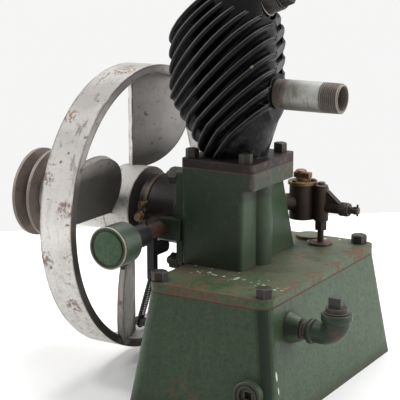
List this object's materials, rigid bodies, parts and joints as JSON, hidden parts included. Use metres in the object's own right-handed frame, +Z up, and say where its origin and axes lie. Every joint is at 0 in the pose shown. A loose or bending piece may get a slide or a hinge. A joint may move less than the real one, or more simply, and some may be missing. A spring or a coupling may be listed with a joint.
{
  "type": "single-cylinder engine",
  "caption": "Small air-cooled single-cylinder engine on its own tapered fuel tank, with sloping cylinder fins and a fan-bladed flywheel driving a V-belt pulley.",
  "frame": {"origin": "centre of the fuel tank's flat underside", "axes": "+X along the crankshaft, away from the flywheel; -Y the front, with the drain boss; +Z up along the cylinder"},
  "size_m": [0.3791, 0.264, 0.3573],
  "materials": {
    "green_paint": "worn satin enamel",
    "can_paint": "satin enamel",
    "gasket": "matt paper",
    "black_iron": "satin heat-proof black",
    "galvanised_steel": "dull zinc",
    "dark_steel": "dull",
    "porcelain": "glazed",
    "aged_brass": "tarnished",
    "black_steel": "satin black",
    "rusty_steel": "rusty",
    "brown_steel": "dark brown oxide",
    "silver_paint": "worn silver-grey paint"
  },
  "bodies": {
    "frame": {"fuel_tank": "green_paint", "tank_gasket": "gasket", "tank_lid": "green_paint", "drain_plug": "green_paint", "crankcase": "green_paint", "cylinder_gasket": "gasket", "finned_cylinder": "black_iron", "exhaust_nipple": "galvanised_steel", "spark_plug_shell": "dark_steel", "spark_plug_insulator": "porcelain", "bearing_cover": "green_paint", "timer_drum": "dark_steel", "timer_ring": "aged_brass", "timer_terminal": "aged_brass", "round_can": "can_paint", "can_cap": "can_paint", "can_neck": "black_steel", "can_pipe": "rusty_steel", "control_lever": "black_steel", "lever_link": "black_steel", "link_lug": "black_steel", "mixer_neck": "brown_steel", "mixer_bowl": "brown_steel", "mixer_cap": "aged_brass", "mixer_knob": "aged_brass", "mixer_body": "brown_steel", "needle_valve": "brown_steel", "union_nut": "brown_steel", "fuel_pipe": "brown_steel", "pipe_washer": "rusty_steel", "filler_nipple": "green_paint", "filler_elbow": "green_paint", "filler_plug": "green_paint"},
    "rotor": {"crankshaft": "dark_steel", "flywheel": "silver_paint", "pulley": "brown_steel", "shaft_nut": "dark_steel"}
  },
  "joints": [
    {"name": "flywheel_spin", "type": "hinge", "parent": "frame", "child": "rotor", "pos_m": [-0.134, -0.004, 0.1445], "axis": [1, 0, 0], "continuous": true}
  ]
}
